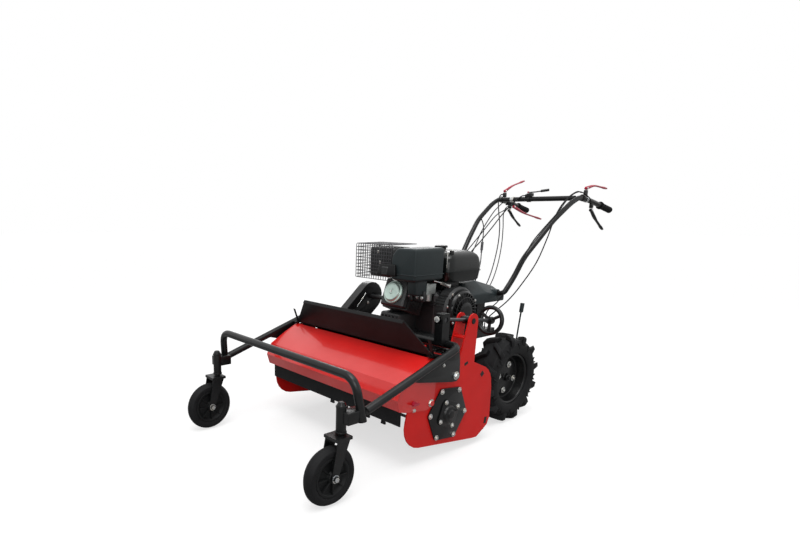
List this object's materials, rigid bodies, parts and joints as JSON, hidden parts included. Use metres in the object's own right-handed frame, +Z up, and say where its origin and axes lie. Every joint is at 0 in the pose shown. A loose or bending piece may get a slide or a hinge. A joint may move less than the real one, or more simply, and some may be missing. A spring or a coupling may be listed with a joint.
{
  "type": "walk-behind flail mower",
  "caption": "Self-propelled walk-behind stubble mower: petrol engine over two drive wheels, full-width flail deck in front, castors on a screw-adjusted tube frame.",
  "frame": {"origin": "bottom centre of the bounding box, on the ground under the middle of the machine", "axes": "+Z up; +Y from the castors back to the handlebar grips; +X to the machine's left"},
  "size_m": [1.0206, 2.513, 1.2449],
  "materials": {
    "red_paint": "gloss red powder coat",
    "black_paint": "satin black powder coat",
    "dark_plastic": "fine-grained dark moulded plastic",
    "tank_black": "gloss black tank",
    "lever_red": "crimson moulded plastic",
    "rubber": "black rubber",
    "tyre": "moulded black tyre rubber",
    "cast_alloy": "black painted casting",
    "bright_alloy": "bright cast alloy",
    "steel": "bare and zinc-plated steel"
  },
  "bodies": {
    "root": {"gearbox": "cast_alloy", "main_frame": "black_paint", "deck_shell": "red_paint", "side_plate_left": "red_paint", "side_plate_right": "red_paint", "bearing_cover_left": "black_paint", "deck_shield": "black_paint", "engine_block": "cast_alloy", "valve_cover": "bright_alloy", "recoil_cover": "black_paint", "fuel_tank": "tank_black", "air_cleaner": "dark_plastic", "carburettor": "bright_alloy", "muffler": "black_paint", "muffler_guard": "steel", "drive_belt": "rubber", "belt_cover": "black_paint", "rear_console": "dark_plastic", "handle_tube_left": "black_paint", "handle_tube_right": "black_paint", "grip_left": "rubber", "grip_right": "rubber", "crossbar": "black_paint", "cable_left_brake": "rubber", "cable_right_brake": "rubber", "cable_throttle": "rubber"},
    "drive_wheel_left": {"drive_tyre_left": "tyre", "drive_rim_left": "black_paint"},
    "drive_wheel_right": {"drive_tyre_right": "tyre", "drive_rim_right": "black_paint"},
    "castor_frame": {"castor_rail_left": "black_paint", "castor_rail_right": "black_paint", "castor_cross_tube": "black_paint", "castor_front_hoop": "black_paint"},
    "screw_barrel": {"post_barrel": "steel"},
    "hand_screw": {"height_screw": "steel"},
    "trunnion": {"trunnion_nut": "steel"},
    "fork_left": {"castor_fork_left": "black_paint"},
    "fork_right": {"castor_fork_right": "black_paint"},
    "castor_left": {"castor_wheel_left": "rubber"},
    "castor_right": {"castor_wheel_right": "rubber"},
    "flail_rotor": {"rotor": "steel"},
    "flails_1": {"flail_row_1": "steel"},
    "flails_2": {"flail_row_2": "steel"},
    "flails_3": {"flail_row_3": "steel"},
    "power_take_off": {"engine_pulley": "steel"},
    "hood": {"front_hood": "red_paint"},
    "hood_curtain": {"front_curtain": "rubber"},
    "back_curtain": {"rear_curtain": "rubber"},
    "latch": {"hood_latch": "lever_red"},
    "tank_cap": {"fuel_cap": "dark_plastic"},
    "starter": {"starter_handle": "dark_plastic"},
    "left_brake_lever": {"brake_lever_left": "lever_red"},
    "right_brake_lever": {"brake_lever_right": "lever_red"},
    "left_clutch_lever": {"clutch_lever_left": "black_paint"},
    "right_clutch_lever": {"clutch_lever_right": "black_paint"},
    "travel_lever": {"drive_lever": "lever_red"},
    "throttle": {"throttle_lever": "dark_plastic"},
    "kill_button": {"stop_button": "lever_red"},
    "shift_lever": {"gear_lever": "black_paint"}
  },
  "joints": [
    {"name": "drive_wheel_left_spin", "type": "hinge", "parent": "root", "child": "drive_wheel_left", "pos_m": [0.3225, 0.1354, 0.2208], "axis": [1, 0, 0], "continuous": true},
    {"name": "drive_wheel_right_spin", "type": "hinge", "parent": "root", "child": "drive_wheel_right", "pos_m": [-0.3225, 0.1354, 0.2208], "axis": [1, 0, 0], "continuous": true},
    {"name": "castor_frame_tilt", "type": "hinge", "parent": "root", "child": "castor_frame", "pos_m": [0, -0.4775, 0.3761], "axis": [1, 0, 0], "range_deg": [-6.2, 6.2]},
    {"name": "screw_barrel_tilt", "type": "hinge", "parent": "castor_frame", "child": "screw_barrel", "pos_m": [0.415, -0.5046, 0.606], "axis": [1, 0, 0], "range_deg": [-4.2, 4.2]},
    {"name": "hand_screw_spin", "type": "hinge", "parent": "screw_barrel", "child": "hand_screw", "pos_m": [0.415, -0.5046, 0.606], "axis": [0, 0.9921, -0.1255], "range_deg": [-2118, 2118]},
    {"name": "trunnion_tilt", "type": "hinge", "parent": "root", "child": "trunnion", "pos_m": [0.415, -0.3386, 0.585], "axis": [1, 0, 0], "range_deg": [-2.2, 2.2]},
    {"name": "castor_left_swivel", "type": "hinge", "parent": "castor_frame", "child": "fork_left", "pos_m": [0.4536, -1.0892, 0.262], "axis": [0, 0, 1], "continuous": true},
    {"name": "castor_right_swivel", "type": "hinge", "parent": "castor_frame", "child": "fork_right", "pos_m": [-0.4536, -1.0892, 0.262], "axis": [0, 0, 1], "continuous": true},
    {"name": "castor_left_spin", "type": "hinge", "parent": "fork_left", "child": "castor_left", "pos_m": [0.4536, -1.1409, 0.1138], "axis": [1, 0, 0], "continuous": true},
    {"name": "castor_right_spin", "type": "hinge", "parent": "fork_right", "child": "castor_right", "pos_m": [-0.4536, -1.1409, 0.1138], "axis": [1, 0, 0], "continuous": true},
    {"name": "rotor_spin", "type": "hinge", "parent": "root", "child": "flail_rotor", "pos_m": [0, -0.4802, 0.2009], "axis": [1, 0, 0], "continuous": true},
    {"name": "flails_1_swing", "type": "hinge", "parent": "flail_rotor", "child": "flails_1", "pos_m": [0, -0.40659, 0.2434], "axis": [1, 0, 0], "range_deg": [-18, 258]},
    {"name": "flails_2_swing", "type": "hinge", "parent": "flail_rotor", "child": "flails_2", "pos_m": [0, -0.55381, 0.2434], "axis": [1, 0, 0], "range_deg": [-258, 18]},
    {"name": "flails_3_swing", "type": "hinge", "parent": "flail_rotor", "child": "flails_3", "pos_m": [0, -0.4802, 0.1159], "axis": [1, 0, 0], "range_deg": [-138, 138]},
    {"name": "engine_pulley_spin", "type": "hinge", "parent": "root", "child": "power_take_off", "pos_m": [0, -0.0446, 0.557], "axis": [1, 0, 0], "continuous": true},
    {"name": "hood_lift", "type": "hinge", "parent": "root", "child": "hood", "pos_m": [0, -0.5936, 0.272], "axis": [1, 0, 0], "range_deg": [-25, 0]},
    {"name": "front_curtain_swing", "type": "hinge", "parent": "hood", "child": "hood_curtain", "pos_m": [0, -0.7576, 0.284], "axis": [1, 0, 0], "range_deg": [-10, 28]},
    {"name": "rear_curtain_swing", "type": "hinge", "parent": "root", "child": "back_curtain", "pos_m": [0, -0.1826, 0.25], "axis": [1, 0, 0], "range_deg": [-25, 2]},
    {"name": "latch_turn", "type": "hinge", "parent": "hood", "child": "latch", "pos_m": [0.4528, -0.7026, 0.292], "axis": [1, 0, 0], "range_deg": [0, 360]},
    {"name": "fuel_cap_turn", "type": "hinge", "parent": "root", "child": "tank_cap", "pos_m": [0, -0.0146, 0.862], "axis": [0, 0, 1], "range_deg": [0, 90]},
    {"name": "starter_pull", "type": "slide", "parent": "root", "child": "starter", "axis": [0, -1, 0], "range_m": [0, 0.28], "stiffness_N_per_m": 30},
    {"name": "brake_left_squeeze", "type": "hinge", "parent": "root", "child": "left_brake_lever", "pos_m": [0.2535, 0.9124, 1.172], "axis": [1, 0, 0], "range_deg": [-17, 0], "stiffness_Nm_per_rad": 3, "springref_deg": 14.32},
    {"name": "brake_right_squeeze", "type": "hinge", "parent": "root", "child": "right_brake_lever", "pos_m": [-0.2535, 0.9124, 1.172], "axis": [1, 0, 0], "range_deg": [-30, 0], "stiffness_Nm_per_rad": 3, "springref_deg": 14.32},
    {"name": "clutch_left_squeeze", "type": "hinge", "parent": "root", "child": "left_clutch_lever", "pos_m": [0.259, 0.9854, 1.052], "axis": [1, 0, 0], "range_deg": [0, 25], "stiffness_Nm_per_rad": 3},
    {"name": "clutch_right_squeeze", "type": "hinge", "parent": "root", "child": "right_clutch_lever", "pos_m": [-0.259, 0.9854, 1.052], "axis": [1, 0, 0], "range_deg": [0, 25], "stiffness_Nm_per_rad": 3},
    {"name": "travel_lever_squeeze", "type": "hinge", "parent": "root", "child": "travel_lever", "pos_m": [-0.205, 0.9474, 1.074], "axis": [1, 0, 0], "range_deg": [0, 15], "stiffness_Nm_per_rad": 3},
    {"name": "throttle_turn", "type": "hinge", "parent": "root", "child": "throttle", "pos_m": [-0.034, 0.8344, 1.1521], "axis": [0, 0, 1], "range_deg": [-30, 30]},
    {"name": "stop_press", "type": "slide", "parent": "root", "child": "kill_button", "axis": [0, 0, -1], "range_m": [0, 0.003], "stiffness_N_per_m": 300, "springref_m": -0.002},
    {"name": "gear_shift", "type": "hinge", "parent": "root", "child": "shift_lever", "pos_m": [0.195, 0.4354, 0.2171], "axis": [1, 0, 0], "range_deg": [-15, 15]}
  ],
  "couplings": [
    {"joint": "castor_frame_tilt", "follows": "hand_screw_spin", "ratio": -0.0028329},
    {"joint": "screw_barrel_tilt", "follows": "hand_screw_spin", "ratio": 0.0018896},
    {"joint": "trunnion_tilt", "follows": "hand_screw_spin", "ratio": -0.0009433},
    {"joint": "engine_pulley_spin", "follows": "rotor_spin", "ratio": 0.9}
  ]
}
